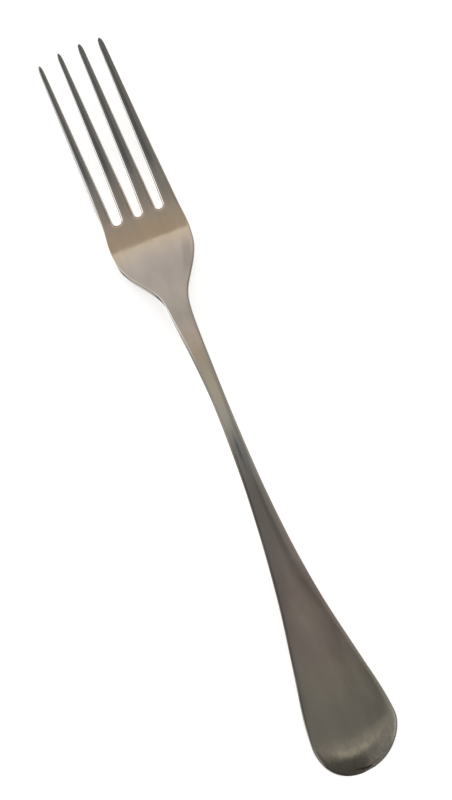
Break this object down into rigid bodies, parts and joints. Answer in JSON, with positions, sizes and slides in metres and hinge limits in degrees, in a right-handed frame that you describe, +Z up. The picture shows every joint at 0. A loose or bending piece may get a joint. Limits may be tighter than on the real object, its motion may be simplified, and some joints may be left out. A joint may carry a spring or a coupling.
{
  "type": "dinner fork",
  "caption": "One-piece dinner fork with long tapered tines, sloping shoulders, a slim arched shank and a broad, round-ended handle, for eating at table.",
  "frame": {"origin": "centre of the box round the fork, on the surface it rests on", "axes": "+Y towards the tips of the tines, +X across the fork, +Z up, tines curving up"},
  "size_m": [0.023, 0.2064, 0.0149],
  "materials": {
    "steel": "polished stainless steel with fine wear scratches"
  },
  "bodies": {
    "root": {"fork": "steel"}
  },
  "joints": []
}
